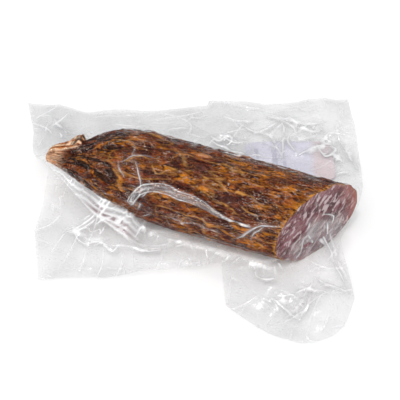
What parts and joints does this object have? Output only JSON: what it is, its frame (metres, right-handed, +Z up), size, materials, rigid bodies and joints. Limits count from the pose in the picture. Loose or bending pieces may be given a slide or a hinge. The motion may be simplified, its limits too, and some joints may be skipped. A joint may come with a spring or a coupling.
{
  "type": "vacuum-packed cured sausage",
  "caption": "Half of a large dry-cured sausage with a slanted cut face and a pleated tip, sealed in a clear vacuum bag with wide crumpled margins and a plain label",
  "frame": {"origin": "middle of the bounding box in plan, on the floor that the sausage rests on", "axes": "+Z up; +X along the longer side of the bag, towards the cut face; the sausage's axis runs from its tip at -X to its cut face at +X, 20.5 degrees towards -Y"},
  "size_m": [0.255, 0.244, 0.0624],
  "materials": {
    "cured_sausage": "dried natural casing, amber and dark red-brown, slightly glossy under the film",
    "bag_film": "clear vacuum film, glossy and crumpled",
    "cut_meat": "cut dry-cured meat, purple-brown lean with pale fat",
    "label_paper": "pale printed label seen through film"
  },
  "bodies": {
    "root": {"sealed_sausage": "cured_sausage", "bag_margins": "bag_film", "label": "label_paper"}
  },
  "joints": []
}
